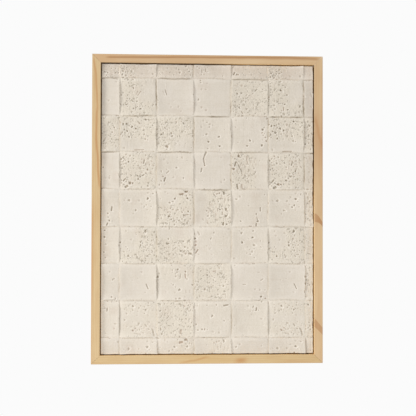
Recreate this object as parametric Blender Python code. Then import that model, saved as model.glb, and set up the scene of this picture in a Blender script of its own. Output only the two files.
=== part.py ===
"""Framed relief wall panel: a pine floater frame around one cast panel with a woven-square relief.

Metres, +Z up. The front faces -Y and the flat back lies in the plane Y = 0. The origin is on the back face of the
top rail, midway between the seats of the two keyhole slots that the part hangs by.
"""

from math import cos, pi, radians, sin, sqrt

import bmesh
import bpy
from mathutils import Matrix, Vector

# Frame
FRAME_WIDTH = 0.600
FRAME_HEIGHT = 0.800
RAIL_FACE = 0.022  # visible width of a rail, seen from the front
LEDGE_THICKNESS = 0.0107  # ledge behind the panel, at the frame's back
LEDGE_LAP = 0.012  # how far the ledge reaches in behind the panel's edge
MITRE_GAP = 0.0003  # between two rails at their mitre
EDGE_ROUND = 0.0012  # eased long edges
ROUND_SEGMENTS = 3

# Panel
SHADOW_GAP = 0.0035  # between the panel's edge and the rails
PANEL_RECESS = 0.009  # from the frame's front to the relief's level at the tile corners
PANEL_THICKNESS = 0.012  # from that level to the panel's back
PANEL_SEAT_GAP = 0.0003  # between the panel's back and the ledge

# Woven relief: squares like the crossings of wide flat strips, their long sides curled up
TILE_WIDTH = 0.0965
TILE_HEIGHT = 0.0961
LEFT_CUT_TILE = 0.044  # width left of the first column
TOP_CUT_TILE = 0.0335  # height left of the first row
EDGE_RISE = 0.004  # height of a strip's curled-up sides, at mid-edge
END_DIVE = 0.0015  # drop of a strip's ends, where they go under the next one
SEAM_WIDTH = 0.001  # width over which one tile steps to the next
LEAST_TILE = 0.004  # a narrower strip of a tile at the panel's edge is left out
CELLS_PER_TILE = 8
CURL_POWER = 2.2  # how late a strip turns up towards its sides
DIVE_POWER = 8  # how late it drops towards its ends
FADE_POWER = 3  # how late a step fades out towards the tile's corners

# Keyhole slots in the back of the top rail
HANG_DROP = 0.009  # from the frame's top edge down to the keyhole seats
KEYHOLE_SPACING = 0.400
KEYHOLE_FALL = 0.0075  # from a seat down to the centre of its entry hole
ENTRY_DEPTH = 0.0100
CHASE_DEPTH = 0.0095  # depth of the wider space that the screw's head slides up
KEYHOLE_LIP = 0.003  # wood left over the screw's head
ENTRY_RADIUS = 0.00475
CHASE_RADIUS = 0.0045
NECK_RADIUS = 0.00235
ARC_SEGMENTS = 10
CUT_OVERSHOOT = 0.002  # how far a cutter stands out of the back face

# Sizes that follow from the ones above
FRAME_DEPTH = PANEL_RECESS + PANEL_THICKNESS + PANEL_SEAT_GAP + LEDGE_THICKNESS
PANEL_WIDTH = FRAME_WIDTH - 2 * (RAIL_FACE + SHADOW_GAP)
PANEL_HEIGHT = FRAME_HEIGHT - 2 * (RAIL_FACE + SHADOW_GAP)
PANEL_LEVEL = -(FRAME_DEPTH - PANEL_RECESS)
PANEL_BACK = -(LEDGE_THICKNESS + PANEL_SEAT_GAP)
CENTRE_Z = HANG_DROP - FRAME_HEIGHT / 2


def make_collection(name):
    collection = bpy.data.collections.new(name)
    bpy.context.scene.collection.children.link(collection)
    return collection


def make_material(name, colour, roughness):
    material = bpy.data.materials.new(name)
    material.use_nodes = True
    shader = material.node_tree.nodes["Principled BSDF"]
    shader.inputs["Base Color"].default_value = (*colour, 1.0)
    shader.inputs["Roughness"].default_value = roughness
    shader.inputs["Metallic"].default_value = 0.0
    return material


def arc(centre, radius, start, end, segments):
    """Points along an arc, both ends included, with the angles in radians."""
    angles = [start + (end - start) * step / segments for step in range(segments + 1)]
    return [(centre[0] + radius * cos(a), centre[1] + radius * sin(a)) for a in angles]


def prism(outline, half_length):
    """A closed bmesh: the flat outline in XY, reaching half_length to each side along Z."""
    curve = bpy.data.curves.new("outline", "CURVE")
    curve.dimensions = "2D"
    curve.fill_mode = "BOTH"
    curve.extrude = half_length
    spline = curve.splines.new("POLY")
    spline.points.add(len(outline) - 1)
    for point, (x, y) in zip(spline.points, outline):
        point.co = (x, y, 0, 1)
    spline.use_cyclic_u = True
    guide = bpy.data.objects.new("outline", curve)
    bpy.context.scene.collection.objects.link(guide)
    depsgraph = bpy.context.evaluated_depsgraph_get()
    mesh = bpy.data.meshes.new_from_object(guide.evaluated_get(depsgraph))
    bpy.data.objects.remove(guide)
    bpy.data.curves.remove(curve)
    solid = bmesh.new()
    solid.from_mesh(mesh)
    bpy.data.meshes.remove(mesh)
    bmesh.ops.remove_doubles(solid, verts=solid.verts, dist=0.00001)
    return solid


def add_object(solid, name, collection, material=None):
    """Makes an object from a bmesh, with its normals facing out."""
    bmesh.ops.recalc_face_normals(solid, faces=solid.faces)
    mesh = bpy.data.meshes.new(name)
    solid.to_mesh(mesh)
    solid.free()
    if material:
        mesh.materials.append(material)
    piece = bpy.data.objects.new(name, mesh)
    collection.objects.link(piece)
    return piece


def rail_profile():
    """A rail's section as (distance in from the outer edge, distance forward from the back)."""
    r = EDGE_ROUND
    ledge_edge = RAIL_FACE + SHADOW_GAP + LEDGE_LAP
    profile = arc((r, r), r, 1.5 * pi, pi, ROUND_SEGMENTS)
    profile += arc((r, FRAME_DEPTH - r), r, pi, pi / 2, ROUND_SEGMENTS)
    profile += arc((RAIL_FACE - r, FRAME_DEPTH - r), r, pi / 2, 0, ROUND_SEGMENTS)
    profile += [(RAIL_FACE, LEDGE_THICKNESS), (ledge_edge, LEDGE_THICKNESS), (ledge_edge, 0)]
    return profile


def make_rail(name, length, reach, angle, collection, material):
    """A mitred rail. reach is from the frame's centre out to its edge, and angle turns it about the centre."""
    solid = prism(rail_profile(), length / 2 + RAIL_FACE)
    place = Matrix(((0, 0, 1, 0), (0, -1, 0, 0), (-1, 0, 0, reach), (0, 0, 0, 1)))
    bmesh.ops.transform(solid, matrix=place, verts=solid.verts)
    for side in (-1, 1):
        normal = Vector((side, 0, -1)) / sqrt(2)
        corner = Vector((side * length / 2, 0, reach))
        cut = bmesh.ops.bisect_plane(
            solid,
            geom=[*solid.verts, *solid.edges, *solid.faces],
            plane_co=corner - normal * MITRE_GAP / 2,
            plane_no=normal,
            clear_outer=True,
        )
        rim = [part for part in cut["geom_cut"] if isinstance(part, bmesh.types.BMEdge)]
        bmesh.ops.edgeloop_fill(solid, edges=rim)
    rail = add_object(solid, name, collection, material)
    rail.rotation_euler = (0, angle, 0)
    rail.location = (0, 0, CENTRE_Z)
    rail.data.shade_smooth()
    rail.data.set_sharp_from_angle(angle=radians(35))
    return rail


def slot_cutter(name, x, radius, low_z, high_z, front_y, back_y, collection):
    """A round-ended slot between low_z and high_z, cut from front_y to back_y. Equal heights make a round hole."""
    outline = arc((0, high_z), radius, 0, pi, ARC_SEGMENTS)
    outline += arc((0, low_z), radius, pi, 2 * pi, ARC_SEGMENTS)
    solid = prism(outline, (back_y - front_y) / 2)
    place = Matrix(((1, 0, 0, x), (0, 0, 1, (front_y + back_y) / 2), (0, 1, 0, 0), (0, 0, 0, 1)))
    bmesh.ops.transform(solid, matrix=place, verts=solid.verts)
    bmesh.ops.remove_doubles(solid, verts=solid.verts, dist=0.00001)
    cutter = add_object(solid, name, collection)
    cutter.hide_render = True
    cutter.display_type = "WIRE"
    return cutter


def keyhole_cutters(name, x, collection):
    """Cutters of one keyhole: a round entry, a neck above it for the screw's shank, a wider chase for its head."""
    entry_z = -KEYHOLE_FALL
    neck_depth = (KEYHOLE_LIP + CHASE_DEPTH) / 2
    slot_cutter(name + "_entry", x, ENTRY_RADIUS, entry_z, entry_z, -ENTRY_DEPTH, CUT_OVERSHOOT, collection)
    slot_cutter(name + "_neck", x, NECK_RADIUS, entry_z, 0, -neck_depth, CUT_OVERSHOOT, collection)
    slot_cutter(name + "_chase", x, CHASE_RADIUS, entry_z, 0, -CHASE_DEPTH, -KEYHOLE_LIP, collection)


def cut_away(piece, cutters):
    """Subtracts every cutter of a collection from the piece."""
    cut = piece.modifiers.new("cutters", "BOOLEAN")
    cut.operation = "DIFFERENCE"
    cut.solver = "EXACT"
    cut.operand_type = "COLLECTION"
    cut.collection = cutters


def tile_lines(length, cut_tile, pitch):
    """Grid lines across the panel in one direction: (position, tile number, place in the tile from -1 to 1)."""
    lines = []
    tile = 0
    start = cut_tile - pitch
    while start < length - LEAST_TILE:
        low = max(start + SEAM_WIDTH / 2, 0)
        high = min(start + pitch - SEAM_WIDTH / 2, length)
        if start + pitch > length - LEAST_TILE:
            high = length
        cells = max(1, round(CELLS_PER_TILE * (high - low) / pitch))
        for step in range(cells + 1):
            position = low + (high - low) * step / cells
            place = 2 * (position - start - pitch / 2) / (pitch - SEAM_WIDTH)
            lines.append((position, tile, max(-1, min(1, place))))
        tile += 1
        start += pitch
    return lines


def relief_height(column, u, row, v):
    """The relief's height over the level of the tile corners. Tiles alternate as the crossings of a weave do."""
    if (column + row) % 2:
        u, v = v, u
    rise = EDGE_RISE * abs(v) ** CURL_POWER * (1 - abs(u) ** FADE_POWER)
    dive = END_DIVE * abs(u) ** DIVE_POWER * (1 - abs(v) ** FADE_POWER)
    return rise - dive


def make_panel(collection, material):
    columns = tile_lines(PANEL_WIDTH, LEFT_CUT_TILE, TILE_WIDTH)
    rows = tile_lines(PANEL_HEIGHT, TOP_CUT_TILE, TILE_HEIGHT)
    solid = bmesh.new()
    bmesh.ops.create_grid(solid, x_segments=len(columns) - 1, y_segments=len(rows) - 1, size=1)
    for vertex in solid.verts:
        x, column, u = columns[round((vertex.co.x + 1) / 2 * (len(columns) - 1))]
        z, row, v = rows[round((1 - vertex.co.y) / 2 * (len(rows) - 1))]
        height = relief_height(column, u, row, v)
        vertex.co = (x - PANEL_WIDTH / 2, PANEL_LEVEL - height, CENTRE_Z + PANEL_HEIGHT / 2 - z)
    rim = [edge for edge in solid.edges if edge.is_boundary]
    sides = bmesh.ops.extrude_edge_only(solid, edges=rim)["geom"]
    for vertex in [part for part in sides if isinstance(part, bmesh.types.BMVert)]:
        vertex.co.y = PANEL_BACK
    bmesh.ops.edgeloop_fill(solid, edges=[edge for edge in solid.edges if edge.is_boundary])
    return add_object(solid, "relief_panel", collection, material)


def main():
    for old in list(bpy.data.objects):
        bpy.data.objects.remove(old)
    parts = make_collection("framed_relief_panel")
    cutters = make_collection("cutters")
    pine = make_material("pine", (0.68, 0.48, 0.28), 0.55)
    plaster = make_material("plaster", (0.65, 0.58, 0.48), 0.85)

    half_width = FRAME_WIDTH / 2
    half_height = FRAME_HEIGHT / 2
    top = make_rail("frame_rail_top", FRAME_WIDTH, half_height, 0, parts, pine)
    make_rail("frame_rail_right", FRAME_HEIGHT, half_width, pi / 2, parts, pine)
    make_rail("frame_rail_bottom", FRAME_WIDTH, half_height, pi, parts, pine)
    make_rail("frame_rail_left", FRAME_HEIGHT, half_width, -pi / 2, parts, pine)
    keyhole_cutters("keyhole_left", -KEYHOLE_SPACING / 2, cutters)
    keyhole_cutters("keyhole_right", KEYHOLE_SPACING / 2, cutters)
    cut_away(top, cutters)
    make_panel(parts, plaster)


main()
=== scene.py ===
"""Looks of the framed relief wall panel: a pine floater frame around one cast panel of woven squares.

Metres, +Z up, front facing -Y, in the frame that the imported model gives. The relief is worked out in
millimetres on a grid that runs from the panel's upper left corner, right and down, as seen from the front.
"""

from collections import namedtuple
from math import atan2, cos, degrees, hypot, pi, radians, sin

import bmesh
import bpy
import numpy as np
from mathutils import Matrix, Vector


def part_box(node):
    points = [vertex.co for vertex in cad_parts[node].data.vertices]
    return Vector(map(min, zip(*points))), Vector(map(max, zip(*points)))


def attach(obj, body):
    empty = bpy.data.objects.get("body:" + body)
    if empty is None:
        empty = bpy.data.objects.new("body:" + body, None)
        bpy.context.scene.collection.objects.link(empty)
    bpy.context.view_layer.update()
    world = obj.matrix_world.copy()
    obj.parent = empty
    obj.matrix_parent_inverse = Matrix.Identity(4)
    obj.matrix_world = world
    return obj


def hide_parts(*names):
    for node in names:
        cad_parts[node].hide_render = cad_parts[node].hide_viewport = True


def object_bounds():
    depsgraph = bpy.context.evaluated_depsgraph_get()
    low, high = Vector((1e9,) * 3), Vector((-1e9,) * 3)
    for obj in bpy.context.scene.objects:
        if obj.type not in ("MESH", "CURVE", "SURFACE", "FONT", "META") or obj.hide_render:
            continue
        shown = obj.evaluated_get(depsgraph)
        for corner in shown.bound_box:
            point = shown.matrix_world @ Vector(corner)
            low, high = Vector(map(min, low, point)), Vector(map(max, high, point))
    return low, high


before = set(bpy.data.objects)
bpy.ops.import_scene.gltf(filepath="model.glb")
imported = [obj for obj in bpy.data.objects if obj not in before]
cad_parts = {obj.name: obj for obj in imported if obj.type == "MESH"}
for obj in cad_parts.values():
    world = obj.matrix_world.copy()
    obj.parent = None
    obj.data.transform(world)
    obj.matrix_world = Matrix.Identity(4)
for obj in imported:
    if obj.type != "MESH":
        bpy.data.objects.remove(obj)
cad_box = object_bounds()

MM = 0.001

# Camera, worked out from the outline of the frame in the photograph
IMAGE_SIDE = 416
FOCAL_PIXELS = 850
SENSOR = 36.0
CAMERA_PLACE = (-0.116, -2.231, -0.427)
CAMERA_YAW = radians(3.02)  # towards +X
CAMERA_PITCH = radians(1.00)  # upwards
CAMERA_ROLL = radians(0.13)

# Studio
BACKDROP = 0.965  # what the camera sees behind the object
AMBIENT = 0.655
KEY_FROM = (-1.8, -1.0, 0.6)
KEY_DISTANCE = 4.0
KEY_SIZE = 1.5
KEY_POWER = 71.5
FILL_PLACE = (-0.1, -1.1, -1.15)
FILL_SIZE = 0.8
FILL_POWER = 2.7
FLOOR_Z = -1.6
FLOOR_RADIUS = 1.5

# Panel, in millimetres
PANEL_LOW, PANEL_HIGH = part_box("relief_panel")
PANEL_WIDTH = (PANEL_HIGH.x - PANEL_LOW.x) / MM
PANEL_HEIGHT = (PANEL_HIGH.z - PANEL_LOW.z) / MM
EDGE_RISE = 4.0  # height of a strip's curled-up sides, at mid-edge
END_DIVE = 1.2  # drop of a strip's ends, where they go under the next one
PANEL_LEVEL = PANEL_LOW.y + EDGE_RISE * MM  # the relief's level at the tile corners
TILE_WIDTH = 96.5
TILE_HEIGHT = 96.1
CURL_POWER = 2.2
DIVE_POWER = 24
FADE_POWER = 3
# How wide and how deep a crest is rounded over: on a tile's left or upper edge, and on its right or lower one
EARLY_CREST = (7.0, 1.1)
LATE_CREST = (1.6, 0.35)
CREVICE_WIDTH = 1.4
CREVICE_DEPTH = 1.1
CREVICE_PLACES = (0.2, 1.0)  # how far right of a column seam, and below a row seam, its middle lies
CURL_RANGE = (0.82, 1.15)  # how much of the full curl each edge has
SOFTENED = 0.5  # over how far the tiles' steps are softened
SEAM_CHIPS = 14  # chips along each seam
CHIP_STRAY = 0.8  # how far they lie from it
SEAM_WOBBLES = ((0.45, 20), (0.3, 3))  # how far a seam strays from its line, and over what length
SWELLS = ((0.2, 22), (0.1, 9))  # how uneven the cast is, and over what length
PATCH_LENGTH = 16  # how long the patches are in which crevices and stains come and go
STRAY_PITS = 120
MOST_STRENGTH = 1.1
GRID = 0.6  # the relief's grid
MOST_TRIANGLES = 190_000
# Seams between columns: place from the left edge at mid height, and how far they lean from top to bottom
COLUMN_SEAMS = ((45.9, 1.5), (142.0, 5.0), (238.2, 3.0), (335.7, 2.5), (432.2, 1.0), (528.0, 6.0))
ROW_SEAMS = (35.2, 132.6, 226.4, 323.4, 420.7, 515.9, 611.9, 707.7)
REPEAT_COLUMNS = 4  # the cast repeats after so many columns
REPEAT_LOWER = 0.02  # and, above the fifth row, so much lower, as a share of a tile
LAST_ROW, SAME_ROW = 8, 4  # the last row repeats the fifth
# How rough each tile's face is, from 0, trowelled smooth, to 3, porous all over
ROUGHNESS = (
    (2, 3, 2, 1, 2, 3, 1),
    (0, 3, 0, 0, 3, 3, 0),
    (3, 3, 3, 1, 1, 3, 3),
    (0, 3, 1, 0, 3, 3, 2),
    (1, 1, 3, 3, 1, 1, 3),
    (1, 3, 3, 1, 1, 3, 2),
    (0, 0, 2, 3, 0, 0, 3),
    (1, 2, 3, 1, 1, 2, 3),
    (0, 1, 2, 2, 0, 1, 2),
)
# The part of a rough tile that is trowelled smoother: its first and last place across, then down, in
# hundredths of the tile. Below 0 and above 100 lie off the tile.
SMOOTH_PARTS = {
    (0, 1): (45, 110, -9, 110), (0, 5): (45, 110, -9, 110),
    (1, 1): (58, 110, 8, 64), (1, 5): (56, 110, 8, 66),
    (2, 1): (-9, 110, 66, 110), (2, 2): (50, 110, 62, 110), (2, 5): (-9, 110, 66, 110),
    (3, 4): (67, 110, -9, 110),
    (4, 2): (-9, 55, -9, 42), (4, 3): (-9, 38, -9, 110),
    (5, 1): (-9, 48, -9, 66), (5, 2): (-9, 110, -9, 30), (5, 5): (-9, 48, -9, 60),
    (6, 2): (-9, 110, 42, 110),
    (7, 1): (-9, 60, 30, 60), (7, 5): (-9, 110, 36, 58),
    (8, 2): (-9, 50, -9, 110), (8, 3): (-9, 38, -9, 110),
}
SMOOTHER, ROUGHER = 0.3, 1.06  # how rough that part and the rest of such a tile are, as shares of ROUGHNESS
SMOOTH_EDGE = 3.5  # over how far roughness changes
# How deep a dark line runs along each seam, in ninths, or below 0 where the seam is filled. The line's
# darkness is partly grime and partly painted shade. First the six seams between the tiles of each row
COLUMN_LINES = (
    (0, -6, 9, -1, 2, -7), (-2, 12, -2, 11, 1, 13), (3, -1, 10, -1, 6, 0),
    (0, 5, -1, 5, 0, 6), (3, -1, 7, -4, 3, 0), (-2, 5, -1, 4, 1, 3),
    (4, 4, 5, -3, 4, -1), (3, 2, -2, 6, 2, 3), (6, 0, 4, -5, 8, 4),
)
# The same for the seams under the seven tiles of each row but the last
ROW_LINES = (
    (8, -3, 4, -2, 6, -3, 0), (-2, 5, -3, 7, -1, 6, 4), (3, -3, 7, -1, 2, 1, 8), (-4, 0, -4, 5, -1, 0, 1),
    (-3, 1, -2, -2, 0, 4, 2), (-2, 0, -2, 2, -2, 1, 1), (-3, 2, 1, 3, -3, -1, 0), (-3, 1, 0, 2, 0, 0, 4),
)
CREST_RIM, BORDER_RIM = (5, 3.5), (1.3, 2.0)  # how far in the pale rims lie, and how wide they are
# The crests' pale rims are partly painted highlight
FAINT_CREST, PALE_CREST = 0.08, 0.25  # how pale the rims along the tiles' crests are
FILLED_PALE = 0.66  # how pale a filled seam is
BORDER_STAINS_AND_SHADE = (0.13, 0.04, 0.04)  # how much warmer and darker the top, bottom and right strips are; the top strip's larger share is painted shade
BORDER_PAINTED_LIGHT = (0.75, 0.5, 0.5, 0.5)  # how strongly the rim along the top, bottom, left and right border is painted pale, as painted light against the frame's shade
# How far the cast spreads past its straight top, bottom, left and right border, and how uneven each is
SPREAD = ((0.7, 0.2), (0.6, 0.2), (0.6, 0.15), (0.35, 0.45))
SPREAD_WAVES = ((1, 14), (0.4, 4))
SPREAD_REACH = 12  # how far in from the border the spread is felt

chance = np.random.default_rng(11)


class Field:
    """A number that varies over a surface, so that a material's sums read as arithmetic."""

    def __init__(self, socket):
        self.socket = socket

    def calc(self, operation, *others):
        node = self.socket.id_data.nodes.new("ShaderNodeMath")
        node.operation = operation
        for place, value in enumerate((self, *others)):
            feed(node.inputs[place], value)
        return Field(node.outputs[0])

    def __add__(self, other):
        return self.calc("ADD", other)

    def __sub__(self, other):
        return self.calc("SUBTRACT", other)

    def __mul__(self, other):
        return self.calc("MULTIPLY", other)

    def __truediv__(self, other):
        return self.calc("DIVIDE", other)

    def __rsub__(self, other):
        return self.calc("MULTIPLY", -1).calc("ADD", other)

    def __abs__(self):
        return self.calc("ABSOLUTE")

    __radd__ = __add__
    __rmul__ = __mul__

    def fract(self):
        return self.calc("FRACT")

    def smooth(self, start, end, low=0.0, high=1.0):
        """From low at start to high at end, levelling off smoothly beyond both."""
        node = self.socket.id_data.nodes.new("ShaderNodeMapRange")
        node.interpolation_type = "SMOOTHSTEP"
        for place, value in enumerate((self, start, end, low, high)):
            feed(node.inputs[place], value)
        return Field(node.outputs[0])

    def hill(self, centre, half_width):
        """1 at centre, falling smoothly to 0 at half_width to each side."""
        return abs(self - centre).smooth(0, half_width, 1, 0)


def feed(socket, value):
    if isinstance(value, Field):
        value = value.socket
    if isinstance(value, bpy.types.NodeSocket):
        socket.id_data.links.new(value, socket)
    else:
        socket.default_value = value


def new_material(name, roughness, specular):
    """A node material with its shader, whose constant gloss values sit on the shader's own sockets."""
    material = bpy.data.materials.new(name)
    material.use_nodes = True
    shader = material.node_tree.nodes["Principled BSDF"]
    shader.inputs["Roughness"].default_value = roughness
    shader.inputs["Specular IOR Level"].default_value = specular
    return material, shader


def place_fields(tree):
    """The x, y and z of the point being shaded."""
    coordinates = tree.nodes.new("ShaderNodeTexCoord")
    split = tree.nodes.new("ShaderNodeSeparateXYZ")
    feed(split.inputs[0], coordinates.outputs["Object"])
    return [Field(output) for output in split.outputs]


def joined(x, y, z):
    """One place made of its three coordinates."""
    join = x.socket.id_data.nodes.new("ShaderNodeCombineXYZ")
    for place, value in enumerate((x, y, z)):
        feed(join.inputs[place], value)
    return join.outputs[0]


def noise(x, y, z, detail=2.0, roughness=0.5):
    """Smooth noise from 0 to 1 at a point whose coordinates are already divided by the noise's size."""
    node = x.socket.id_data.nodes.new("ShaderNodeTexNoise")
    feed(node.inputs["Vector"], joined(x, y, z))
    node.inputs["Scale"].default_value = 1.0
    node.inputs["Detail"].default_value = detail
    node.inputs["Roughness"].default_value = roughness
    return Field(node.outputs["Fac"])


def attribute(tree, name):
    node = tree.nodes.new("ShaderNodeAttribute")
    node.attribute_name = name
    return Field(node.outputs["Fac"])


def mix_colours(share, first, second):
    """first where share is 0, second where it is 1. Each is a socket, or a colour in levels from 0 to 255."""
    node = share.socket.id_data.nodes.new("ShaderNodeMix")
    node.data_type = "RGBA"
    feed(node.inputs["Factor"], share)
    for name, colour in (("A", first), ("B", second)):
        feed(node.inputs[name], linear(colour) if isinstance(colour, tuple) else colour)
    return next(output for output in node.outputs if output.type == "RGBA")


def linear(colour):
    """The linear values that shaders take, for a colour in the display's levels from 0 to 255."""
    return (*[((level / 255 + 0.055) / 1.055) ** 2.4 for level in colour], 1.0)


def set_bump(shader, height, distance, strength):
    bump = height.socket.id_data.nodes.new("ShaderNodeBump")
    bump.inputs["Strength"].default_value = strength
    bump.inputs["Distance"].default_value = distance
    feed(bump.inputs["Height"], height)
    feed(shader.inputs["Normal"], bump.outputs["Normal"])


def add_object(name, data):
    added = bpy.data.objects.new(name, data)
    bpy.context.scene.collection.objects.link(added)
    return added


def add_camera():
    data = bpy.data.cameras.new("camera")
    data.sensor_width = SENSOR
    data.lens = SENSOR * FOCAL_PIXELS / IMAGE_SIDE
    camera = add_object("camera", data)
    turn = Matrix.Rotation(-CAMERA_YAW, 4, "Z") @ Matrix.Rotation(pi / 2 + CAMERA_PITCH, 4, "X")
    roll = Matrix.Rotation(CAMERA_ROLL, 4, "Z")
    camera.matrix_world = Matrix.Translation(CAMERA_PLACE) @ turn @ roll
    bpy.context.scene.camera = camera


def add_world():
    """A white backdrop for the camera and a softer ambient light for everything else."""
    world = bpy.data.worlds.new("studio")
    bpy.context.scene.world = world
    world.use_nodes = True
    tree = world.node_tree
    tree.nodes.clear()
    path = tree.nodes.new("ShaderNodeLightPath")
    mix = tree.nodes.new("ShaderNodeMixShader")
    feed(mix.inputs[0], path.outputs["Is Camera Ray"])
    for place, strength in ((1, AMBIENT), (2, BACKDROP)):
        background = tree.nodes.new("ShaderNodeBackground")
        background.inputs["Color"].default_value = (1, 1, 1, 1)
        background.inputs["Strength"].default_value = strength
        feed(mix.inputs[place], background.outputs[0])
    output = tree.nodes.new("ShaderNodeOutputWorld")
    feed(output.inputs["Surface"], mix.outputs[0])


def add_area_light(name, place, target, size, power):
    data = bpy.data.lights.new(name, "AREA")
    data.shape = "DISK"
    data.size = size
    data.energy = power
    light = add_object(name, data)
    aim = Vector(target) - Vector(place)
    light.location = place
    light.rotation_euler = aim.to_track_quat("-Z", "Y").to_euler()


def add_floor():
    solid = bmesh.new()
    bmesh.ops.create_circle(solid, cap_ends=True, segments=96, radius=FLOOR_RADIUS)
    mesh = bpy.data.meshes.new("floor")
    solid.to_mesh(mesh)
    solid.free()
    floor = add_object("floor", mesh)
    floor.location = (0, 0, FLOOR_Z)
    material, shader = new_material("floor", 0.9, 0.2)
    x, y, z = place_fields(material.node_tree)
    clouds = noise(x / 0.4, y / 0.4, z)
    feed(shader.inputs["Base Color"], mix_colours(clouds, (238, 238, 236), (246, 245, 243)))
    mesh.materials.append(material)


def add_studio():
    view = bpy.context.scene.view_settings
    view.view_transform = "Standard"
    view.look = "None"
    add_camera()
    add_world()
    centre = (PANEL_LOW + PANEL_HIGH) / 2
    key_place = centre + Vector(KEY_FROM).normalized() * KEY_DISTANCE
    add_area_light("key", key_place, centre, KEY_SIZE, KEY_POWER)
    add_area_light("fill", FILL_PLACE, (0, 0, PANEL_LOW.z), FILL_SIZE, FILL_POWER)
    add_floor()


# Marks in the cast. Places are hundredths of the tile, across and down, and widths are millimetres.
Bowl = namedtuple("Bowl", "across down width longer turn strength brown")
BROWN = 0.1  # how brown a mark is where nothing else is said
DEEP, PLAIN, FAINT = 1.0, 0.65, 0.33  # how strong marks are
# Small bowls strewn over a part of the tile. Without a turn they lie at all angles.
Pores = namedtuple(
    "Pores", "first_across first_down last_across last_down count width strength brown longer turn",
    defaults=(3.4, PLAIN, BROWN, 1.2, None),
)
Like = namedtuple("Like", "row column")  # another tile, whose marks a tile repeats
PORE_SPACE = 1.4  # the least space between pores, in widths, where there is room
PORE_TRIES = 12


def pit(strength, across, down, width, brown=BROWN):
    """A nearly round bowl."""
    return Bowl(across / 100, down / 100, width, 1.1, chance.uniform(0, 180), strength, brown)


def dash(strength, x0, y0, x1, y1, width, brown=BROWN):
    """A bowl drawn out between two points."""
    length = hypot(x1 - x0, y1 - y0) / 100 * TILE_WIDTH + 0.6 * width
    turn = degrees(atan2(y1 - y0, x1 - x0))
    return Bowl((x0 + x1) / 200, (y0 + y1) / 200, width, max(length / width, 1), turn, strength, brown)


def crack(width, *points, strength=DEEP, brown=0.15):
    """A groove along a line, thickest where it starts."""
    return [
        dash(strength, *start, *end, width * (1.1 - 0.4 * number / len(points)), brown)
        for number, (start, end) in enumerate(zip(points, points[1:]))
    ]


def strewn(pores):
    """The bowls of one group of pores."""
    bowls = []
    for _ in range(pores.count):
        for _ in range(PORE_TRIES):
            across = chance.uniform(pores.first_across, pores.last_across) / 100
            down = chance.uniform(pores.first_down, pores.last_down) / 100
            gaps = [hypot(across - other.across, down - other.down) * TILE_WIDTH for other in bowls]
            if not gaps or min(gaps) > PORE_SPACE * pores.width:
                break
        angle = chance.uniform(0, 180) if pores.turn is None else pores.turn + chance.normal(0, 10)
        share = pores.strength * chance.uniform(0.6, 1.2)
        width = pores.width * chance.uniform(0.75, 1.2)
        bowls.append(Bowl(across, down, width, pores.longer, angle, share, pores.brown))
    return bowls


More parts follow.
